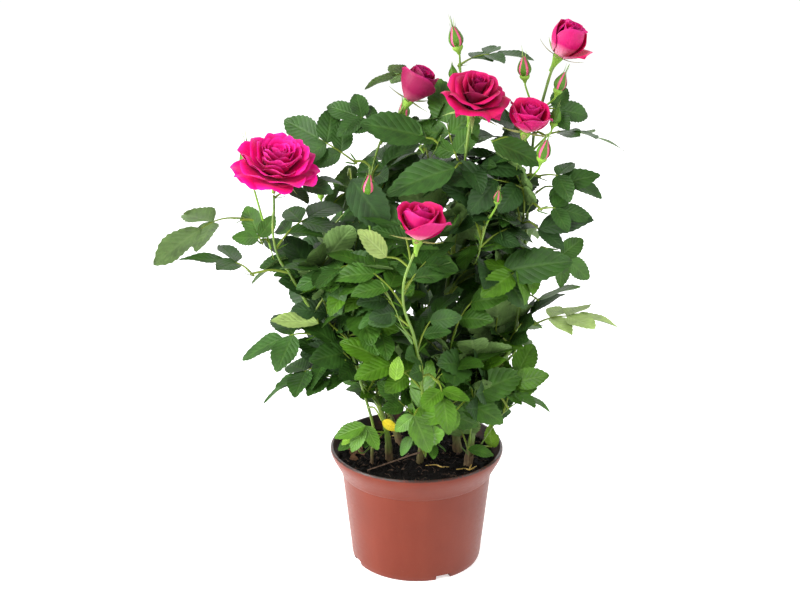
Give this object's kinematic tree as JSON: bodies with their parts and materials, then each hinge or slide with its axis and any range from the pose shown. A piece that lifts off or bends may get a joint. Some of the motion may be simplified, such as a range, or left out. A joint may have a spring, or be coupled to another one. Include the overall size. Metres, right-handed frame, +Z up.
{
  "type": "potted miniature rose bush",
  "caption": "Small flowering rose bush in a round tapered plastic pot, with slim canes, loose masses of leaves and magenta blooms.",
  "frame": {"origin": "centre of the pot's flat underside, on the surface it stands on", "axes": "+Z up along the pot's axis; +X to the viewer's right when seen from the front; -Y is the front, where the lowest open bud faces the viewer"},
  "size_m": [0.3143, 0.2142, 0.3746],
  "materials": {
    "pot": "satin thin-walled moulded plastic, terracotta colour",
    "soil": "moist black peat",
    "cane": "smooth green rind, brown and corky at the foot",
    "foliage": "leathery green leaves",
    "rose": "soft velvety petals"
  },
  "bodies": {
    "root": {"cane_back": "cane", "cane_back_left": "cane", "cane_front": "cane", "cane_left": "cane", "cane_left_upper": "cane", "cane_middle": "cane", "cane_middle_upper": "cane", "cane_right": "cane", "foliage_back_left": "foliage", "foliage_back_low": "foliage", "foliage_back_right": "foliage", "foliage_back_top": "foliage", "foliage_crown": "foliage", "foliage_heart_left": "foliage", "foliage_heart_low": "foliage", "foliage_heart_right": "foliage", "foliage_left": "foliage", "foliage_left_flank": "foliage", "foliage_left_inner": "foliage", "foliage_right_flank": "foliage", "foliage_right_low": "foliage", "foliage_right_upper": "foliage", "foliage_shoulder_left": "foliage", "foliage_skirt_left": "foliage", "foliage_soil_front": "foliage", "foliage_soil_left": "foliage", "foliage_upper_middle": "foliage", "foliage_upper_right": "foliage", "pot": "pot", "rose_front": "rose", "rose_left": "rose", "rose_peak": "rose", "rose_right": "rose", "rose_top": "rose", "rose_upper_left": "rose", "soil": "soil", "spray_back_left": "foliage", "spray_back_right": "foliage", "spray_back_top": "foliage", "spray_bottom_left": "foliage", "spray_far_left": "foliage", "spray_front": "foliage", "spray_left": "foliage", "spray_left_top": "foliage", "spray_low_left": "foliage", "spray_low_right": "foliage", "spray_right": "foliage", "spray_right_hanging": "foliage", "spray_right_low": "foliage", "spray_right_middle": "foliage", "spray_right_upper": "foliage", "spray_rose_stem": "foliage", "spray_shoulder": "foliage", "spray_top": "foliage", "spray_top_left": "foliage", "spray_upper_left": "foliage", "stem_rose_left": "cane", "stem_rose_peak": "cane", "stem_rose_top": "cane", "stem_rose_upper_left": "cane"}
  },
  "joints": []
}
